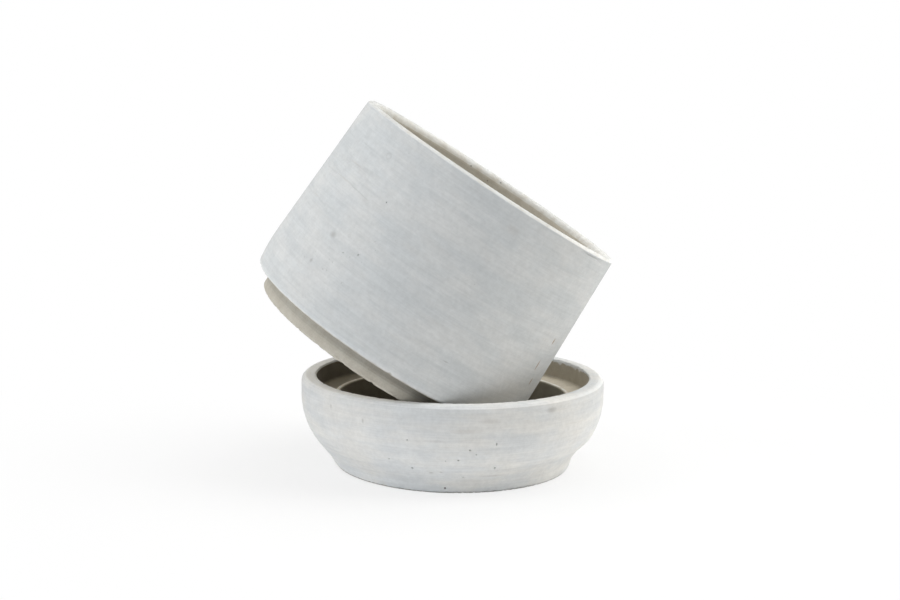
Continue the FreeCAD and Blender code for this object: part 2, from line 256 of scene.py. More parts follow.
class Casting:
    """One turned mesh, built row by row."""

    def __init__(self, rows, closed, chips, dips, blemishes, runs):
        self.rows, self.closed, self.chips, self.dips, self.runs = rows, closed, chips, dips, runs
        self.seam = math.dist((rows[0].radius, rows[0].level), (rows[-1].radius, rows[-1].level))
        self.vertices, self.turns = [], []
        self.alongs, self.coats, self.shades, self.darks, self.rusts = [], [], [], [], []
        self.faces = []
        self.patches, self.taken = [], set()
        for blemish in blemishes:
            self.reserve(blemish)
        self.grid = [self.make_row(number) for number in range(len(rows))]
        pairs = len(rows) if closed else len(rows) - 1
        for number in range(pairs):
            self.stitch(number, (number + 1) % len(rows))
        if not closed:
            self.close_end(0, 1)
            self.close_end(len(rows) - 1, -1)
        for patch in self.patches:
            self.fill(*patch)

    def add(self, row, angle, sink=0.0, dark=0.0, rust=0.0):
        """Adds a vertex and gives its number."""
        place = Vector((row.radius * math.cos(angle), row.radius * math.sin(angle), row.level))
        sink += relief(row, place, angle, self.chips, self.dips)
        out = Vector((row.out_r * math.cos(angle), row.out_r * math.sin(angle), row.out_z))
        self.vertices.append((place - out * sink) * MM)
        self.alongs.append(row.along * MM)
        self.coats.append(row.coat + run_over(row, place, angle, self.runs))
        # Painted light and shade: the finish's lightness, darker or lighter toward one side.
        self.shades.append(row.shade * (1 - row.damp * (1 + math.cos(angle - SHADED_SIDE)) / 2))
        self.darks.append(dark)
        self.rusts.append(rust)
        self.turns.append(angle / FULL_TURN % 1)
        return len(self.vertices) - 1

    def between(self, along):
        """Row at any distance along the outline."""
        for one, two in zip(self.rows, self.rows[1:]):
            if one.along <= along <= two.along:
                return mixed(one, two, (along - one.along) / (two.along - one.along))
        return self.rows[-1]

    def reserve(self, blemish):
        """Keeps a patch of the grid free for a blemish, if it meets no other one and no change of columns."""
        low = blemish.along - blemish.along_half * PATCH_MARGIN
        high = blemish.along + blemish.along_half * PATCH_MARGIN
        first = max(number for number, row in enumerate(self.rows) if row.along <= low)
        last = min(number for number, row in enumerate(self.rows) if row.along >= high)
        columns = self.rows[first].columns
        if any(row.columns != columns for row in self.rows[first:last + 1]):
            return
        radius = self.between(blemish.along).radius
        middle = blemish.angle / DEGREES_AROUND * columns
        spread = blemish.around_half * PATCH_MARGIN / (FULL_TURN * radius) * columns
        left, right = math.floor(middle - spread), math.ceil(middle + spread)
        cells = {(row, column % columns) for row in range(first, last) for column in range(left, right)}
        if cells & self.taken:
            return
        self.taken |= cells
        self.patches.append((blemish, first, last, left, right, columns))

    def make_row(self, number):
        """Vertices around one row, with None inside a patch."""
        row = self.rows[number]
        inner = set()
        for _, first, last, left, right, columns in self.patches:
            if first < number < last:
                inner.update(column % columns for column in range(left + 1, right))
        line = []
        for column in range(row.columns):
            angle = FULL_TURN * column / row.columns
            line.append(None if column in inner else self.add(row, angle))
        return line

    def stitch(self, low, high):
        """Faces between two rows. Where one has twice the columns, each step is three triangles."""
        one, two = self.grid[low], self.grid[high]
        for column in range(min(len(one), len(two))):
            if len(one) == len(two):
                after = (column + 1) % len(one)
                if (low, column) not in self.taken:
                    self.faces.append((one[column], one[after], two[after], two[column]))
            elif len(one) > len(two):
                near, middle, far = (one[(2 * column + step) % len(one)] for step in range(3))
                top, top_after = two[column], two[(column + 1) % len(two)]
                self.faces += [(near, middle, top), (middle, top_after, top), (middle, far, top_after)]
            else:
                near, middle, far = (two[(2 * column + step) % len(two)] for step in range(3))
                foot, foot_after = one[column], one[(column + 1) % len(one)]
                self.faces += [(foot, middle, near), (foot, foot_after, middle), (foot_after, far, middle)]

    def close_end(self, number, way):
        """Closes the middle of a floor with a fan."""
        row = self.rows[number]
        centre = self.add(row._replace(radius=0.0, out_r=0.0, along=row.along - way * row.radius), 0.0)
        self.turns[centre] = None
        line = self.grid[number]
        for column, vertex in enumerate(line):
            after = line[(column + 1) % len(line)]
            self.faces.append((vertex, centre, after) if way > 0 else (vertex, after, centre))

    def fill(self, blemish, first, last, left, right, columns):
        """Fills a patch with the rings of its blemish."""
        loop = [(first, column) for column in range(left, right)]
        loop += [(row, right) for row in range(first, last)]
        loop += [(last, column) for column in range(right, left, -1)]
        loop += [(row, left) for row in range(last, first, -1)]
        outer = [self.grid[row][column % columns] for row, column in loop]
        radius = self.between(blemish.along).radius
        ways = []
        for row, column in loop:
            turned = (column / columns * DEGREES_AROUND - blemish.angle) / DEGREES_AROUND * FULL_TURN
            around = turned * radius / blemish.around_half
            across = (self.rows[row].along - blemish.along) / blemish.along_half
            ways.append(math.atan2(across, around))
        for ring in BLEMISH_RINGS[blemish.kind]:
            if ring.share == 0:
                middle = self.ring_vertex(blemish, ring, 0, radius)
                for number, vertex in enumerate(outer):
                    self.faces.append((vertex, outer[(number + 1) % len(outer)], middle))
                return
            inner = [self.ring_vertex(blemish, ring, way, radius) for way in ways]
            for number in range(len(outer)):
                after = (number + 1) % len(outer)
                self.faces.append((outer[number], outer[after], inner[after], inner[number]))
            outer = inner

    def ring_vertex(self, blemish, ring, way, radius):
        """Vertex of a ring, in this direction from the blemish's middle."""
        angle = math.radians(blemish.angle) + ring.share * math.cos(way) * blemish.around_half / radius
        row = self.between(blemish.along + ring.share * math.sin(way) * blemish.along_half)
        return self.add(row, angle, ring.depth * blemish.depth, ring.dark, ring.rust)

    def make_map(self, mesh):
        """Unrolls the casting into one square."""
        whole = self.rows[-1].along + (self.seam if self.closed else self.rows[-1].radius)
        unrolled = mesh.uv_layers.new(name=MAP_NAME)
        spots = []
        for face in self.faces:
            for places, span in ((self.turns, 1.0), (self.alongs, whole * MM)):
                known = [places[vertex] for vertex in face if places[vertex] is not None]
                wraps = max(known) - min(known) > span / 2
                middle = sum(known) / len(known)
                line = []
                for vertex in face:
                    value = places[vertex]
                    if value is None:
                        value = middle
                    elif wraps and value < span / 2:
                        value += span
                    line.append(value / span)
                spots.append(line)
        flat = []
        for around, along in zip(spots[::2], spots[1::2]):
            for pair in zip(around, along):
                flat.extend(pair)
        unrolled.data.foreach_set("uv", flat)

    def make_object(self, name, material, placement):
        """Blender object of the casting, with what its material reads."""
        mesh = bpy.data.meshes.new(name)
        mesh.from_pydata([placement @ vertex for vertex in self.vertices], [], self.faces)
        own = mesh.attributes.new("own_place", "FLOAT_VECTOR", "POINT")
        own.data.foreach_set("vector", [part for vertex in self.vertices for part in vertex])
        self.make_map(mesh)
        for label, values in (("along", self.alongs), ("coat", self.coats), ("shade", self.shades),
                              ("dark", self.darks), ("rust", self.rusts)):
            mesh.attributes.new(label, "FLOAT", "POINT").data.foreach_set("value", values)
        mesh.polygons.foreach_set("use_smooth", [True] * len(mesh.polygons))
        mesh.materials.append(material)
        made = bpy.data.objects.new(name, mesh)
        bpy.context.scene.collection.objects.link(made)
        return made


# Material nodes

# Sockets of a Mix node that mixes colours.
MIX_SHARE, MIX_ONE, MIX_TWO, MIX_RESULT = 0, 6, 7, 2


def node(tree, kind, settings=None, **inputs):
    """New node. Its inputs are values, or sockets of other nodes to link."""
    made = tree.nodes.new("ShaderNode" + kind)
    for setting, value in (settings or {}).items():
        setattr(made, setting, value)
    for label, value in inputs.items():
        fill_socket(tree, made.inputs[label.replace("_", " ")], value)
    return made


def fill_socket(tree, socket, value):
    """Links a socket to another one, or sets its value."""
    if isinstance(value, bpy.types.NodeSocket):
        tree.links.new(value, socket)
    else:
        socket.default_value = value


def maths(tree, operation, one, two):
    """One operation on two values."""
    made = node(tree, "Math", {"operation": operation})
    fill_socket(tree, made.inputs[0], one)
    fill_socket(tree, made.inputs[1], two)
    return made.outputs[0]


def weighed(tree, one, one_weight, two, two_weight):
    """Sum of two values, each times its weight."""
    one, two = maths(tree, "MULTIPLY", one, one_weight), maths(tree, "MULTIPLY", two, two_weight)
    return maths(tree, "ADD", one, two)


def blend(tree, share, one, two, kind="MIX"):
    """Colour between one and two."""
    made = node(tree, "Mix", {"data_type": "RGBA", "blend_type": kind})
    for socket, value in ((MIX_SHARE, share), (MIX_ONE, one), (MIX_TWO, two)):
        fill_socket(tree, made.inputs[socket], value)
    return made.outputs[MIX_RESULT]


def ramp(tree, value, low, high, out_low=0.0, out_high=1.0):
    """Smooth step between low and high."""
    made = node(tree, "MapRange", {"interpolation_type": "SMOOTHSTEP"}, Value=value, From_Min=low,
                From_Max=high, To_Min=out_low, To_Max=out_high)
    return made.outputs["Result"]


def attribute(tree, name):
    """Value that the mesh has for each vertex."""
    return node(tree, "Attribute", {"attribute_name": name}).outputs["Fac"]


def cloudy(tree, vector, pattern):
    """Cloudy pattern, from 0 to 1, at a place in metres."""
    scaled = node(tree, "VectorMath", {"operation": "MULTIPLY"})
    fill_socket(tree, scaled.inputs[0], vector)
    scaled.inputs[1].default_value = [1 / (size * MM) for size in pattern.sizes]
    made = node(tree, "TexNoise", Vector=scaled.outputs[0], Scale=1.0, Detail=pattern.detail,
                Roughness=pattern.roughness)
    return made.outputs["Fac"]


# Concrete

# A pattern: whether it follows the brush around the casting, the sizes of its marks along X, Y and either
# the outline or the height, and the detail and roughness of its noise.
Pattern = namedtuple("Pattern", "brushed sizes detail roughness", defaults=(0.6,))
PATTERNS = {
    "fine": Pattern(True, (42.0, 42.0, 1.2), 3.0),
    "dabs": Pattern(True, (20.0, 20.0, 3.6), 4.0),
    "broad": Pattern(True, (60.0, 60.0, 7.0), 3.0),
    "clouds": Pattern(False, (42.0, 42.0, 26.0), 3.0),
    "mottle": Pattern(False, (7.0, 7.0, 7.0), 4.0),
    "specks": Pattern(False, (2.6, 2.6, 2.6), 4.0, 0.7),
    "grain": Pattern(False, (0.8, 0.8, 0.8), 2.0),
}
# How the patterns tint: the stretch of their values that counts, and the tint at both of its ends.
WASH_TINTS = {
    "fine": (0.3, 0.7, 0.968, 1.028),
    "dabs": (0.3, 0.7, 0.97, 1.025),
    "specks": (0.28, 0.72, 0.955, 1.038),
    "mottle": (0.3, 0.7, 0.975, 1.02),
    "clouds": (0.3, 0.7, 0.955, 1.03),
    "broad": (0.3, 0.7, 0.97, 1.025),
}
GRAIN_TINT = (0.25, 0.75, 0.93, 1.05)
# Where the whitewash turns from cool to warm, and raw concrete from dark to light.
DRIFT_CLOUDS, DRIFT_BROAD, DRIFT_STRETCH = 0.65, 0.35, (0.38, 0.64)
RAW_STRETCH = (0.25, 0.75)
# How ragged the whitewash ends, the stretch over which it covers, and where brushing left it thin.
RAGGED, NOISE_MIDDLE, COVER_STRETCH = 0.5, 0.5, (0.2, 0.8)
THIN_CLOUDS, THIN_STRETCH = 0.5, (0.88, 1.06, 1.0, 0.8)
ROUGHNESS_STRETCH = (0.3, 0.7, 0.84, 0.96)
SPECULAR = 0.25
BUMP_FINE, BUMP_GRAIN, BUMP_STRENGTH, BUMP_DEPTH = 0.7, 0.3, 0.2, 0.2
# Dark colour of the blemishes: painted shade inside pits and pinholes, and the marks' own darkening in the
# other kinds.
PIT_SHADE_AND_MARK_COLOUR = (0.16, 0.15, 0.14, 1.0)
RUST_COLOUR = (0.34, 0.22, 0.13, 1.0)

# Colours of a casting: whitewash where it is cool and warm, raw concrete where it is light and dark.
Look = namedtuple("Look", "cool warm raw_light raw_dark")
POT_LOOK = Look((0.58, 0.597, 0.6, 1.0), (0.588, 0.592, 0.584, 1.0),
                (0.5, 0.475, 0.416, 1.0), (0.43, 0.4, 0.341, 1.0))
SAUCER_LOOK = Look((0.682, 0.694, 0.697, 1.0), (0.7, 0.691, 0.667, 1.0),
                   (0.47, 0.43, 0.355, 1.0), (0.4, 0.36, 0.29, 1.0))


def concrete(name, look):
    """Cast concrete with a brushed whitewash where the mesh says so."""
    material = bpy.data.materials.new(name)
    material.use_nodes = True
    tree = material.node_tree
    shader = tree.nodes["Principled BSDF"]

    place = node(tree, "Attribute", {"attribute_name": "own_place"}).outputs["Vector"]
    parts = node(tree, "SeparateXYZ", Vector=place).outputs
    unrolled = node(tree, "CombineXYZ", X=parts["X"], Y=parts["Y"], Z=attribute(tree, "along")).outputs[0]
    marks = {}
    for label, pattern in PATTERNS.items():
        marks[label] = cloudy(tree, unrolled if pattern.brushed else place, pattern)

    drift = weighed(tree, marks["clouds"], DRIFT_CLOUDS, marks["broad"], DRIFT_BROAD)
    wash = blend(tree, ramp(tree, drift, *DRIFT_STRETCH), look.cool, look.warm)
    for label, tint in WASH_TINTS.items():
        wash = blend(tree, 1.0, wash, ramp(tree, marks[label], *tint), "MULTIPLY")
    raw = blend(tree, ramp(tree, marks["mottle"], *RAW_STRETCH), look.raw_dark, look.raw_light)
    raw = blend(tree, 1.0, raw, ramp(tree, marks["grain"], *GRAIN_TINT), "MULTIPLY")

    ragged = maths(tree, "MULTIPLY", maths(tree, "SUBTRACT", marks["mottle"], NOISE_MIDDLE), RAGGED)
    cover = ramp(tree, maths(tree, "ADD", attribute(tree, "coat"), ragged), *COVER_STRETCH)
    thin = ramp(tree, weighed(tree, marks["fine"], 1.0, marks["clouds"], THIN_CLOUDS), *THIN_STRETCH)
    colour = blend(tree, maths(tree, "MULTIPLY", cover, thin), raw, wash)
    # The finish's shade, which paints in light and shade.
    colour = blend(tree, 1.0, colour, attribute(tree, "shade"), "MULTIPLY")
    # Painted shade in pits and pinholes, and the darkening of the other marks.
    colour = blend(tree, attribute(tree, "dark"), colour, PIT_SHADE_AND_MARK_COLOUR)
    colour = blend(tree, attribute(tree, "rust"), colour, RUST_COLOUR)
    tree.links.new(colour, shader.inputs["Base Color"])

    tree.links.new(ramp(tree, marks["mottle"], *ROUGHNESS_STRETCH), shader.inputs["Roughness"])
    shader.inputs["Specular IOR Level"].default_value = SPECULAR
    height = weighed(tree, marks["fine"], BUMP_FINE, marks["grain"], BUMP_GRAIN)
    bump = node(tree, "Bump", Strength=BUMP_STRENGTH, Distance=BUMP_DEPTH * MM, Height=height)
    tree.links.new(bump.outputs[0], shader.inputs["Normal"])
    return material


# Marks

# A face counts as level where its way out is at least this much upward.
LEVEL_LEAST = 0.9
# Pinholes strewn over a stretch: seed, number, and the angles in degrees and levels that they lie between.
Scatter = namedtuple("Scatter", "seed count angles levels")
# The strewn pinholes' half sizes around, their height as a share of that, and their depths.
PINHOLE_SIZES, PINHOLE_STRETCH, PINHOLE_DEPTHS = (0.3, 0.6), (0.8, 1.3), (0.4, 0.9)


def outside_at(rows, level):
    """Distance along the outline to this level on the outer wall."""
    for one, two in zip(rows, rows[1:]):
        if one.out_r > 0 and one.level <= level <= two.level and two.level > one.level:
            return one.along + (two.along - one.along) * (level - one.level) / (two.level - one.level)


def inside_at(rows, level):
    """Distance along the outline to this level on the inner wall."""
    for one, two in zip(rows, rows[1:]):
        if one.out_r < 0 and two.level <= level <= one.level and one.level > two.level:
            return one.along + (two.along - one.along) * (one.level - level) / (one.level - two.level)


def floor_at(rows, radius):
    """Distance along the outline to this radius on the first level face inside the outer wall."""
    for one, two in zip(rows, rows[1:]):
        if min(one.out_z, two.out_z) > LEVEL_LEAST and two.radius <= radius <= one.radius:
            return one.along + one.radius - radius


def blemishes(rows, find, marks):
    """Blemishes from marks: kind, angle in degrees, what find takes, half sizes and depth."""
    return [Blemish(kind, angle, find(rows, where), *sizes) for kind, angle, where, *sizes in marks]


def scatter(stretch):
    """Marks for pinholes at random places."""
    chance = random.Random(stretch.seed)
    marks = []
    for _ in range(stretch.count):
        size = chance.uniform(*PINHOLE_SIZES)
        marks.append(("pinhole", chance.uniform(*stretch.angles), chance.uniform(*stretch.levels), size,
                      size * chance.uniform(*PINHOLE_STRETCH), chance.uniform(*PINHOLE_DEPTHS)))
    return marks


# Pot

POT_HEIGHT = 139.0
POT_RIM_RADIUS, POT_RIM_WIDTH = 94.75, 8.2
POT_MOUTH_RADIUS = POT_RIM_RADIUS - POT_RIM_WIDTH
POT_FOOT_RADIUS = 88.0
SHOULDER_RADIUS, SHOULDER_LEVEL = 98.5, 12.3
BELLY_RADIUS, BELLY_LEVEL = 99.6, 36.8
SPACE_RADIUS, SPACE_LEVEL = 82.55, 16.0
DRAIN_RADIUS = 9.0
# The rim's broken outer edge, from the wall to the top, and the places on the inner wall where the whitewash
# thins and where it ends: radius and level.
POT_EDGE_RADIUS, POT_EDGE_LEVEL, POT_TOP_RADIUS = 94.82, 137.3, 93.2
WASH_THINS, WASH_ENDS = (86.41, 134.4), (86.37, 133.2)
# The foot is painted darker toward the shoulder, as the shoulder's shadow, and lighter on its left side, as
# painted light: levels, and the shade and side shade from there on.
FOOT_PAINTED_SHADOW = [(5.0, 0.93, -0.1), (6.6, 0.62, -0.45), (8.2, 0.41, -1.1)]
# How the pot leans and where the middle of its underside lies, as in the CAD model.
LEAN = math.radians(32.4)
POT_REST = Vector((-50.8603, 0.0, 71.5685))

BELLY_ROWS = 6
POT_WALL = Finish(1.0, 1.0)
POT_BELLY = bow((SHOULDER_RADIUS, SHOULDER_LEVEL), (BELLY_RADIUS, BELLY_LEVEL),
                (POT_RIM_RADIUS, POT_HEIGHT), BELLY_ROWS)
# From the drain hole under the pot, up the foot and the wall, over the rim and down to the drain hole again.
POT_CORNERS = [
    Corner(DRAIN_RADIUS, 0.0, 2.0, 12, Finish(0.95), 0.15),
    # The foot's lower part, painted a little lighter on its left side.
    Corner(POT_FOOT_RADIUS, 0.0, 1.8, 4, Finish(1.0, damp=-0.1), 0.48),
    *[Corner(POT_FOOT_RADIUS, level, 0.0, 2, Finish(shade, damp=damp)) for level, shade, damp in FOOT_PAINTED_SHADOW],
    # The cove and the shoulder's underside: painted shadow under the shoulder, lighter toward the left side.
    Corner(POT_FOOT_RADIUS, SHOULDER_LEVEL, 2.5, 4, Finish(0.29, damp=-1.6)),
    # Whitewash from the shoulder up, with a painted highlight along the shoulder's edge.
    Corner(SHOULDER_RADIUS, SHOULDER_LEVEL, 2.5, 2, Finish(1.05, 1.0), 0.15),
    *[Corner(point.x, point.y, 0.0, 1, POT_WALL) for point in POT_BELLY],
    Corner(BELLY_RADIUS, BELLY_LEVEL, 0.0, 36, POT_WALL),
    # Over the rim and down the inner wall the finishes paint in light: worn cream whitewash on the rim's
    # broken edge and top with a painted highlight, a painted bright band inside the rim, and an inner wall
    # painted lighter toward its right side and darker toward its left.
    Corner(POT_EDGE_RADIUS, POT_EDGE_LEVEL, 1.0, 1, Finish(1.5, 0.6, 0.2)),
    Corner(POT_TOP_RADIUS, POT_HEIGHT, 2.0, 3, Finish(1.2, 0.62, 0.06), 0.06),
    Corner(POT_MOUTH_RADIUS, POT_HEIGHT, 3.8, 2, Finish(1.85, 0.5, 0.3), 0.06),
    Corner(*WASH_THINS, 0.0, 2, Finish(1.68, 0.25, 0.36)),
    Corner(*WASH_ENDS, 0.0, 18, Finish(1.68, damp=0.52)),
    Corner(SPACE_RADIUS, SPACE_LEVEL, 12.0, 10, Finish(0.9)),
    Corner(DRAIN_RADIUS, SPACE_LEVEL, 2.0, 6, Finish(0.9), 0.15),
]
# Marks on the outer wall, each found in the photo, and on the inner one: kind, angle in degrees, level, half
# size around and up, and depth.
POT_OUTSIDE_MARKS = [
    ("pinhole", -145.5, 43.9, 0.35, 0.35, 0.5), ("pinhole", -124.4, 57.0, 0.4, 0.45, 0.8),
    ("pinhole", -118.8, 61.4, 0.55, 0.55, 0.9), ("pinhole", -121.1, 57.4, 0.35, 0.35, 0.5),
    ("pinhole", -127.7, 41.3, 0.3, 0.3, 0.5), ("pinhole", -125.9, 42.4, 0.35, 0.3, 0.5),
    ("pinhole", -117.9, 42.0, 0.35, 0.35, 0.6), ("pinhole", -116.3, 73.8, 0.45, 0.4, 0.6),
    ("pinhole", -103.2, 53.2, 0.3, 0.3, 0.5), ("pinhole", -110.2, 81.3, 0.3, 0.3, 0.4),
    ("pinhole", -121.4, 96.8, 0.6, 0.5, 0.9), ("pinhole", -125.3, 128.2, 0.3, 0.3, 0.4),
    ("pinhole", -78.2, 85.8, 0.35, 0.35, 0.3), ("smudge", -132.6, 61.6, 3.3, 2.8, 0.06),
    ("smudge", -134.3, 41.0, 1.6, 1.8, 0.06), ("bubble", -132.2, 119.8, 3.0, 2.6, 0.1),
    ("stain", -77.0, 125.2, 6.0, 3.0, 0.0), ("streak", -145.5, 92.2, 20.0, 0.6, 0.05),
    ("streak", -144.5, 104.0, 17.0, 0.6, 0.05), ("streak", -155.0, 72.8, 15.0, 0.6, 0.05),
    ("scratch", -38.6, 135.8, 11.0, 0.35, 0.15), ("smudge", -71.6, 37.1, 2.8, 0.6, 0.05),
    ("fleck", -28.3, 77.2, 1.1, 2.6, 0.08), ("fleck", -29.6, 59.4, 0.9, 4.4, 0.1),
    ("fleck", -26.7, 47.8, 1.0, 3.0, 0.12), ("bubble", -126.3, 67.2, 1.4, 1.3, 0.06),
    ("pinhole", -116.1, 59.1, 0.3, 0.3, 0.4), ("pinhole", -114.2, 69.8, 0.28, 0.3, 0.4),
    ("pinhole", -119.7, 64.9, 0.28, 0.28, 0.4), ("pinhole", -127.6, 48.5, 0.32, 0.3, 0.4),
    ("pinhole", -125.8, 48.5, 0.3, 0.3, 0.4), ("pinhole", -134.8, 46.6, 0.3, 0.3, 0.4),
    ("pinhole", -138.1, 39.6, 0.32, 0.3, 0.4), ("pinhole", -133.0, 31.4, 0.3, 0.3, 0.4),
    ("pinhole", -145.1, 47.1, 0.32, 0.3, 0.4), ("pinhole", -135.9, 55.1, 0.3, 0.28, 0.4),
    ("pinhole", -126.3, 72.8, 0.28, 0.28, 0.3),
]
POT_INSIDE_MARKS = [
    ("pit", 98.3, 134.8, 0.5, 0.45, 0.8), ("pit", 88.1, 132.3, 0.5, 0.5, 0.8),
    ("pit", 82.3, 136.4, 0.5, 0.4, 0.6),
]
POT_BACK = Scatter(11, 26, (-5, 185), (18, 134))
POT_SPACE = Scatter(12, 40, (-175, 175), (32, 130))
# Nicks in the shoulder's edge, at one level: angle in degrees, half length, half width and depth.
SHOULDER_CHIP_LEVEL = 13.2
SHOULDER_CHIPS = [(-85.7, 1.2, 1.4, 0.7), (-70.5, 0.8, 1.0, 0.4)]


def make_pot():
    """The leaning pot."""
    rows = trace(POT_CORNERS, True)
    marks = blemishes(rows, outside_at, POT_OUTSIDE_MARKS + scatter(POT_BACK))
    marks += blemishes(rows, inside_at, POT_INSIDE_MARKS + scatter(POT_SPACE))
    shoulder = outside_at(rows, SHOULDER_CHIP_LEVEL)
    chips = [Chip(angle, shoulder, *sizes) for angle, *sizes in SHOULDER_CHIPS]
    casting = Casting(rows, True, chips, [], marks, [])
    leaning = Matrix.Translation(POT_REST * MM) @ Matrix.Rotation(LEAN, 4, "Y")
    return casting.make_object("pot_casting", concrete("pot_concrete_look", POT_LOOK), leaning)


# Saucer

# The saucer stands upright on the frame's axis, so the highest corner of its CAD box gives its main sizes.
SIZE_DIGITS = 1
saucer_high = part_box("saucer")[1]
SAUCER_RADIUS = round(saucer_high[0] / MM, SIZE_DIGITS)
SAUCER_HEIGHT = round(saucer_high[2] / MM, SIZE_DIGITS)
SAUCER_RIM_WIDTH, RECESS_DEPTH, WELL_DEPTH = 10.0, 13.3, 21.9
RECESS_RADIUS = SAUCER_RADIUS - SAUCER_RIM_WIDTH
LEDGE_LEVEL = SAUCER_HEIGHT - RECESS_DEPTH
WELL_RADIUS, WELL_FLOOR_RADIUS = 75.2, 72.7
WELL_LEVEL = LEDGE_LEVEL - WELL_DEPTH
HOLLOW_RADIUS, HOLLOW_TOP_RADIUS, HOLLOW_HEIGHT = 62.92, 57.92, 8.0
SAUCER_FOOT_RADIUS = 77.92
FOOT_TOP_RADIUS, FOOT_TOP_LEVEL = 80.75, 6.8
BOW_RADIUS, BOW_LEVEL = 89.61, 17.61
BAND_LEVEL = 47.6
# The rim's broken outer edge, from the wall to the top.
EDGE_START_LEVEL, EDGE_RADIUS, EDGE_LEVEL, TOP_RADIUS = 56.6, 99.35, 58.15, 97.6
# Where the underside is painted dark toward the foot's edge, as the foot's contact shadow, where the
# whitewash ends inside the rim, and where a little of it starts again on the ledge.
CONTACT_SHADOW_RADIUS, INNER_WASH_LEVEL, LEDGE_WASH_RADIUS = 74.6, 58.4, 77.6
# Radius of the first and last rows, which a fan closes.
FAN_RADIUS = 2.5

# The bowed wall is painted lightest at its foot, as light thrown up from the floor: its shade there, and how
# that falls with each millimetre of height.
BOW_ROWS = 19
BOW_PAINTED_LIGHT, BOW_PAINTED_LIGHT_FADE = 1.19, 0.006
SAUCER_BOW = bow((BOW_RADIUS, BOW_LEVEL), (SAUCER_RADIUS, BAND_LEVEL),
                 (SAUCER_RADIUS, SAUCER_HEIGHT), BOW_ROWS)
# The saucer's foot is painted lighter, as light thrown up from the floor, and its rim lighter on the left
# side, as painted light.
SAUCER_FOOT = Finish(1.12, 1.0, 0.06)
SAUCER_RIM = Finish(1.13, 0.9, -0.3)
# From the axis under the saucer, up the foot and the wall, over the rim, across the ledge, into the well and
# to the axis again.
SAUCER_CORNERS = [
    Corner(FAN_RADIUS, HOLLOW_HEIGHT, 0.0, 14, Finish(0.9)),
    Corner(HOLLOW_TOP_RADIUS, HOLLOW_HEIGHT, 4.0, 4, Finish(0.9)),
    # The flat underside, painted darker, and dark near the foot's edge as painted contact shadow.
    Corner(HOLLOW_RADIUS, 0.0, 0.0, 5, Finish(0.5)),
    Corner(CONTACT_SHADOW_RADIUS, 0.0, 0.0, 1, Finish(0.15)),
    Corner(SAUCER_FOOT_RADIUS, 0.0, 2.2, 4, SAUCER_FOOT, 0.35),
    Corner(FOOT_TOP_RADIUS, FOOT_TOP_LEVEL, 3.0, 11, SAUCER_FOOT),
    # The wall: painted lighter toward its foot, and a little darker on its left side, as painted light and
    # shade.
    Corner(BOW_RADIUS, BOW_LEVEL, 0.0, 1, Finish(BOW_PAINTED_LIGHT, 1.0, 0.1)),
    *[Corner(point.x, point.y, 0.0, 1, Finish(BOW_PAINTED_LIGHT - BOW_PAINTED_LIGHT_FADE * (point.y - BOW_LEVEL), 1.0, 0.13))
      for point in SAUCER_BOW],
    Corner(SAUCER_RADIUS, BAND_LEVEL, 0.0, 6, Finish(1.0, 1.0, 0.13)),
    # The rim's broken edge: a painted shade line below it, then a painted highlight along it, dimmer on the
    # left side.
    Corner(SAUCER_RADIUS, EDGE_START_LEVEL, 3.5, 1, Finish(0.98, 1.0, 0.06)),
    Corner(EDGE_RADIUS, EDGE_LEVEL, 1.6, 1, Finish(1.24, 0.95, 0.17)),
    Corner(TOP_RADIUS, SAUCER_HEIGHT, 3.2, 4, SAUCER_RIM, 0.06),
    Corner(RECESS_RADIUS, SAUCER_HEIGHT, 1.2, 1, SAUCER_RIM, 0.3),
    # The recess wall: painted shade on its left side, where the pot shades it.
    Corner(RECESS_RADIUS, INNER_WASH_LEVEL, 0.0, 9, Finish(1.2, damp=0.58)),
    # The ledge: painted light, with painted shade on its left side under the pot.
    Corner(RECESS_RADIUS, LEDGE_LEVEL, 1.2, 7, Finish(1.95, damp=0.5)),
    # A little whitewash along the ledge's edge, with a painted highlight.
    Corner(LEDGE_WASH_RADIUS, LEDGE_LEVEL, 0.0, 2, Finish(1.9, 0.45, -0.1)),
    Corner(WELL_RADIUS, LEDGE_LEVEL, 1.2, 12, Finish(0.8), 0.12),
    Corner(WELL_FLOOR_RADIUS, WELL_LEVEL, 7.0, 18, Finish(0.8)),
    Corner(FAN_RADIUS, WELL_LEVEL, 0.0, 1, Finish(0.8)),
]
# Marks on the outer wall, each found in the photo: kind, angle in degrees, level, half size around and up,
# and depth.
SAUCER_OUTSIDE_MARKS = [
    ("smudge", -139.2, 51.2, 0.9, 1.9, 0.1), ("smudge", -123.2, 46.6, 1.0, 2.0, 0.1),
    ("pinhole", -105.9, 37.9, 0.55, 0.5, 0.5), ("pinhole", -92.3, 24.8, 0.5, 0.45, 0.8),
    ("pinhole", -105.4, 18.2, 0.75, 0.9, 0.8), ("smudge", -98.2, 15.4, 2.0, 0.9, 0.1),
    ("smudge", -94.2, 16.1, 1.5, 0.8, 0.1), ("pinhole", -114.2, 23.3, 0.6, 0.6, 0.6),
    ("pit", -92.8, 3.6, 0.8, 0.9, 0.6), ("pinhole", -87.6, 25.4, 0.6, 0.6, 0.9),
    ("pinhole", -73.1, 19.0, 0.75, 0.9, 0.9), ("pinhole", -85.2, 12.3, 0.5, 0.5, 0.8),
    ("pinhole", -83.6, 32.5, 0.6, 0.55, 0.7), ("pinhole", -81.2, 29.4, 0.45, 0.45, 0.5),
    ("pinhole", -74.1, 36.0, 0.5, 1.2, 0.7), ("smudge", -52.6, 54.3, 4.6, 2.4, 0.06),
    ("stain", -76.5, 50.8, 9.0, 1.9, 0.0), ("stain", -85.1, 44.6, 12.0, 1.9, 0.0),
    ("stain", -95.5, 38.1, 9.0, 1.3, 0.0), ("stain", -73.0, 12.7, 11.0, 1.2, 0.0),
]
SAUCER_BACK = Scatter(13, 22, (-30, 215), (12, 54))
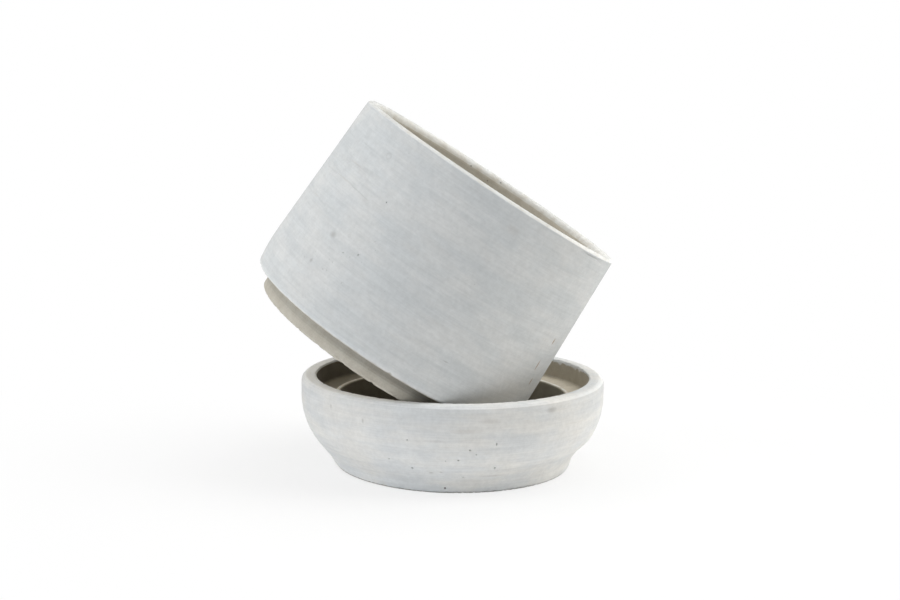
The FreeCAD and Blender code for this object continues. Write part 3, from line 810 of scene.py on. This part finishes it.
# Pit in the ledge: the same, with a radius in place of the level.
LEDGE_MARKS = [("pit", 21.5, 85.3, 0.9, 2.2, 1.6)]
# Chips out of the rim's inner edge, at one level: angle in degrees, half length, half width and depth.
RIM_EDGE_LEVEL = 59.4
RIM_CHIPS = [
    (13.5, 1.3, 0.9, 0.5), (19.0, 2.0, 1.1, 0.7), (23.2, 1.1, 0.8, 0.5), (27.4, 1.7, 1.2, 0.8),
    (31.5, 1.2, 0.8, 0.5), (35.4, 1.6, 1.0, 0.6), (39.5, 1.3, 0.9, 0.5), (44.0, 1.8, 1.0, 0.6),
    (128.0, 1.6, 1.0, 0.5), (-164.0, 1.2, 0.8, 0.4),
]
# Whitewash that ran over that edge: its middle and half its length in degrees, and how far it ran.
RIM_RUNS = [(29.5, 20.0, 3.8), (148.0, 14.0, 2.0)]
# Where the foot was cast uneven: angle in degrees, level, half length, half width and depth.
FOOT_DIPS = [(-6.0, 13.0, 110.0, 13.5, 1.5), (-160.0, 0.9, 95.0, 4.5, 1.0)]


def make_saucer():
    """The saucer under the pot."""
    rows = trace(SAUCER_CORNERS, False)
    marks = blemishes(rows, outside_at, SAUCER_OUTSIDE_MARKS + scatter(SAUCER_BACK))
    marks += blemishes(rows, floor_at, LEDGE_MARKS)
    rim = inside_at(rows, RIM_EDGE_LEVEL)
    chips = [Chip(angle, rim, *sizes) for angle, *sizes in RIM_CHIPS]
    runs = [Run(angle, half_angle, rim, reach) for angle, half_angle, reach in RIM_RUNS]
    dips = [Chip(angle, outside_at(rows, level), *sizes) for angle, level, *sizes in FOOT_DIPS]
    casting = Casting(rows, False, chips, dips, marks, runs)
    still = Matrix.Identity(4)
    return casting.make_object("saucer_casting", concrete("saucer_concrete_look", SAUCER_LOOK), still)


pot, saucer = make_pot(), make_saucer()
for piece, name in ((pot, "pot"), (saucer, "saucer")):
    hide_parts(name)
    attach(piece, name)

# Stage, light and camera, with lengths in metres

WHITE = (1.0, 1.0, 1.0, 1.0)
FLOOR_REACH = 6.0
FLOOR_COLOUR, FLOOR_ROUGHNESS = (0.9, 0.9, 0.9, 1.0), 0.9
# Beside the object the floor is partly plain white, so that its shadow shows, and wholly farther away.
NEAR_WHITE, NEAR_REACH, FAR_REACH = 0.7, 0.1, 0.4
ROOM_COLOUR, ROOM_STRENGTH = (0.97, 0.99, 1.0, 1.0), 0.3
# A soft box: its place, its size across, its power in watts and its colour. All aim at the object's middle.
SoftBox = namedtuple("SoftBox", "name place size power colour")
SOFT_BOXES = [
    SoftBox("left_box", (-1.4, -0.3, 0.8), 1.2, 9.6, (1.0, 0.985, 0.96)),
    SoftBox("low_left_box", (-1.1, -1.0, 0.15), 0.9, 6.6, (0.92, 0.99, 1.08)),
    SoftBox("right_box", (1.4, -0.1, 0.8), 1.2, 10.6, (1.0, 0.98, 0.93)),
    SoftBox("right_back_box", (1.2, 0.8, 0.8), 1.2, 5.5, (1.0, 0.985, 0.95)),
    SoftBox("high_right_box", (0.9, -0.2, 1.3), 0.7, 2.0, (1.0, 0.985, 0.95)),
    SoftBox("top_box", (0.0, 0.2, 1.7), 1.6, 13.0, (1.0, 1.0, 1.0)),
]
AIM = Vector((0.0, 0.0, 0.1))
# The photo's camera, as fitted to both outlines: lens and sensor width in millimetres, its place, and by how
# many degrees it looks down and is tilted sideways.
LENS, SENSOR_WIDTH = 60.0, 36.0
CAMERA_PLACE = Vector((-0.00262, -0.9768, 0.2593))
LEVEL_VIEW, LOOKS_DOWN, TILT = 90.0, 8.74, 0.91


def shown(tree):
    """1 for what the camera sees, straight or in a gloss, and 0 for what lights the object."""
    rays = node(tree, "LightPath").outputs
    return maths(tree, "MAXIMUM", rays["Is Camera Ray"], rays["Is Glossy Ray"])


def mix_shaders(tree, share, one, two, output):
    """Links a mix of two shaders to the output."""
    made = node(tree, "MixShader")
    fill_socket(tree, made.inputs[0], share)
    tree.links.new(one.outputs[0], made.inputs[1])
    tree.links.new(two.outputs[0], made.inputs[2])
    tree.links.new(made.outputs[0], tree.nodes[output].inputs["Surface"])


def make_floor():
    """Pale floor that is plain white away from the object."""
    mesh = bpy.data.meshes.new("floor")
    corners = [(-FLOOR_REACH, -FLOOR_REACH, 0), (FLOOR_REACH, -FLOOR_REACH, 0),
               (FLOOR_REACH, FLOOR_REACH, 0), (-FLOOR_REACH, FLOOR_REACH, 0)]
    mesh.from_pydata(corners, [], [(0, 1, 2, 3)])
    floor = bpy.data.objects.new("floor", mesh)
    bpy.context.scene.collection.objects.link(floor)
    material = bpy.data.materials.new("floor_white")
    material.use_nodes = True
    tree = material.node_tree
    shader = tree.nodes["Principled BSDF"]
    shader.inputs["Base Color"].default_value = FLOOR_COLOUR
    shader.inputs["Roughness"].default_value = FLOOR_ROUGHNESS
    shader.inputs["Specular IOR Level"].default_value = 0.0
    glow = node(tree, "Emission", Color=WHITE, Strength=1.0)
    away = node(tree, "VectorMath", {"operation": "LENGTH"})
    fill_socket(tree, away.inputs[0], node(tree, "NewGeometry").outputs["Position"])
    fade = ramp(tree, away.outputs["Value"], NEAR_REACH, FAR_REACH, NEAR_WHITE, 1.0)
    mix_shaders(tree, maths(tree, "MULTIPLY", shown(tree), fade), shader, glow, "Material Output")
    mesh.materials.append(material)


def make_world():
    """Room light, with a white background for the camera."""
    world = bpy.data.worlds.new("studio")
    bpy.context.scene.world = world
    world.use_nodes = True
    tree = world.node_tree
    room = tree.nodes["Background"]
    room.inputs["Color"].default_value = ROOM_COLOUR
    room.inputs["Strength"].default_value = ROOM_STRENGTH
    white = node(tree, "Background", Color=WHITE, Strength=1.0)
    mix_shaders(tree, shown(tree), room, white, "World Output")


def make_lamp(box):
    """Round area lamp."""
    data = bpy.data.lights.new(box.name, "AREA")
    data.shape = "DISK"
    data.size = box.size
    data.energy = box.power
    data.color = box.colour
    lamp = bpy.data.objects.new(box.name, data)
    lamp.location = box.place
    lamp.rotation_euler = (AIM - Vector(box.place)).to_track_quat("-Z", "Y").to_euler()
    bpy.context.scene.collection.objects.link(lamp)


def make_camera():
    """Camera at the photo's angle."""
    data = bpy.data.cameras.new("camera")
    data.lens = LENS
    data.sensor_width = SENSOR_WIDTH
    camera = bpy.data.objects.new("camera", data)
    camera.location = CAMERA_PLACE
    pitch = Matrix.Rotation(math.radians(LEVEL_VIEW - LOOKS_DOWN), 4, "X")
    roll = Matrix.Rotation(math.radians(TILT), 4, "Z")
    camera.rotation_euler = (pitch @ roll).to_euler()
    bpy.context.scene.collection.objects.link(camera)
    bpy.context.scene.camera = camera


make_floor()
make_world()
for soft_box in SOFT_BOXES:
    make_lamp(soft_box)
make_camera()
bpy.context.scene.view_settings.view_transform = "Standard"
